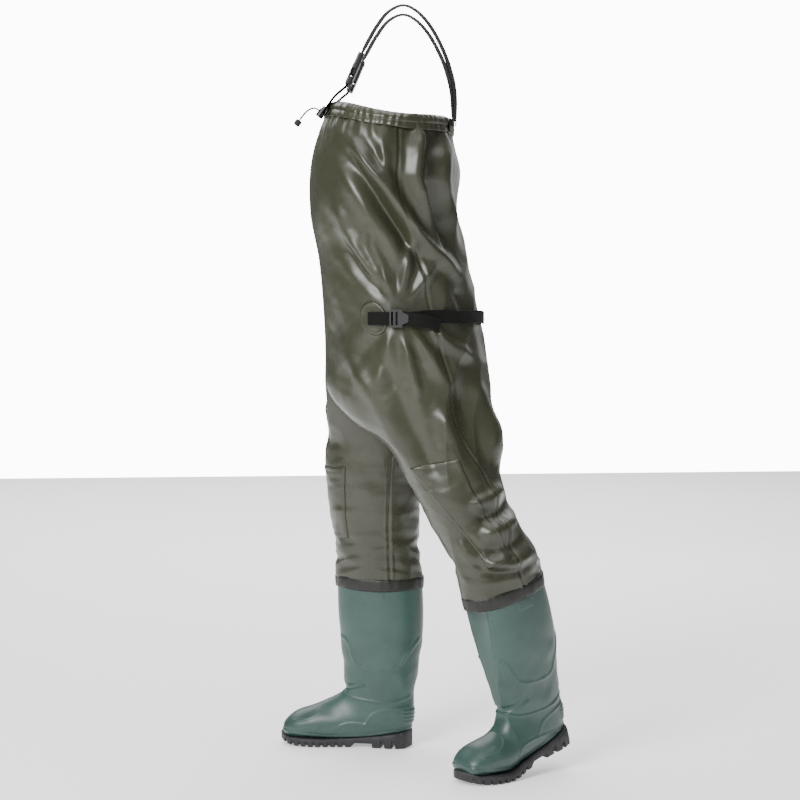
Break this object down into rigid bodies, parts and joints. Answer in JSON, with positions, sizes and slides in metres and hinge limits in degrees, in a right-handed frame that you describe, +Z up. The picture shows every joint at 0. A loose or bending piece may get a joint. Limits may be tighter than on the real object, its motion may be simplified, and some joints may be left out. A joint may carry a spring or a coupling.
{
  "type": "chest waders",
  "caption": "Chest-high waterproof waders with moulded boots, knee patches, shoulder straps, rear waist belt and drawcord, standing in a stride.",
  "frame": {"origin": "on the floor, under the middle of the whole garment", "axes": "+Z up, the wearer faces -Y, the wearer's left is +X"},
  "size_m": [0.4843, 0.5931, 1.5769],
  "materials": {
    "coated_cloth": "coated cloth with a soft gloss",
    "trim_cloth": "welded trim, soft gloss",
    "boot_pvc": "moulded, satin",
    "sole_rubber": "matt",
    "insole_felt": "felt",
    "webbing": "woven",
    "cord": "braided",
    "black_plastic": "moulded, fine grain",
    "spring_steel": "drawn wire"
  },
  "bodies": {
    "bib": {"belt_webbing": "webbing", "bib_back_panel": "coated_cloth", "bib_front_panel": "coated_cloth", "chest_hem": "trim_cloth", "cord_knot": "cord", "cord_lock_barrel": "black_plastic", "cord_lock_spring": "spring_steel", "crotch_seam": "trim_cloth", "drawcord": "cord", "drawcord_ends": "cord", "left_back_anchor": "trim_cloth", "left_belt_anchor": "trim_cloth", "left_belt_tab": "webbing", "left_buckle_socket": "black_plastic", "left_strap_patch": "trim_cloth", "left_strap_tab": "webbing", "right_back_anchor": "trim_cloth", "right_belt_anchor": "trim_cloth", "right_buckle_socket": "black_plastic", "right_strap_patch": "trim_cloth", "right_strap_tab": "webbing"},
    "cord_button": {"cord_lock_button": "black_plastic"},
    "belt_buckle": {"belt_ladder_lock": "black_plastic"},
    "left_strap": {"left_shoulder_strap": "webbing", "left_buckle_clip": "black_plastic"},
    "left_thigh": {"left_thigh_front": "coated_cloth", "left_thigh_back": "coated_cloth"},
    "left_lower_leg": {"left_shin_front": "coated_cloth", "left_shin_back": "coated_cloth", "left_knee_patch": "trim_cloth", "left_boot_cuff": "trim_cloth", "left_boot": "boot_pvc", "left_outsole": "sole_rubber", "left_insole": "insole_felt"},
    "right_strap": {"right_shoulder_strap": "webbing", "right_buckle_clip": "black_plastic"},
    "right_thigh": {"right_thigh_front": "coated_cloth", "right_thigh_back": "coated_cloth"},
    "right_lower_leg": {"right_shin_front": "coated_cloth", "right_shin_back": "coated_cloth", "right_knee_patch": "trim_cloth", "right_boot_cuff": "trim_cloth", "right_boot": "boot_pvc", "right_outsole": "sole_rubber", "right_insole": "insole_felt"}
  },
  "joints": [
    {"name": "left_hip", "type": "hinge", "parent": "bib", "child": "left_thigh", "pos_m": [0.1, -0.0408, 0.715], "axis": [-1, 0, 0], "range_deg": [-5, 40]},
    {"name": "left_knee", "type": "hinge", "parent": "left_thigh", "child": "left_lower_leg", "pos_m": [0.1, 0.0842, 0.52], "axis": [1, 0, 0], "range_deg": [-4, 40]},
    {"name": "left_buckle_release", "type": "slide", "parent": "bib", "child": "left_strap", "axis": [0.0425, 0.4045, 0.9135], "range_m": [0, 0.03]},
    {"name": "right_hip", "type": "hinge", "parent": "bib", "child": "right_thigh", "pos_m": [-0.12, -0.0408, 0.715], "axis": [-1, 0, 0], "range_deg": [-8, 35]},
    {"name": "right_knee", "type": "hinge", "parent": "right_thigh", "child": "right_lower_leg", "pos_m": [-0.12, -0.0938, 0.52], "axis": [1, 0, 0], "range_deg": [-4, 40]},
    {"name": "right_buckle_release", "type": "slide", "parent": "bib", "child": "right_strap", "axis": [0.0425, 0.4045, 0.9135], "range_m": [0, 0.03]},
    {"name": "cord_lock_press", "type": "slide", "parent": "bib", "child": "cord_button", "axis": [-0.0626, -0.5957, -0.8007], "range_m": [0, 0.004], "stiffness_N_per_m": 300, "springref_m": -0.003},
    {"name": "belt_buckle_tilt", "type": "hinge", "parent": "bib", "child": "belt_buckle", "pos_m": [0.2039, -0.0933, 0.935], "axis": [0, 0, -1], "range_deg": [0, 40]}
  ]
}
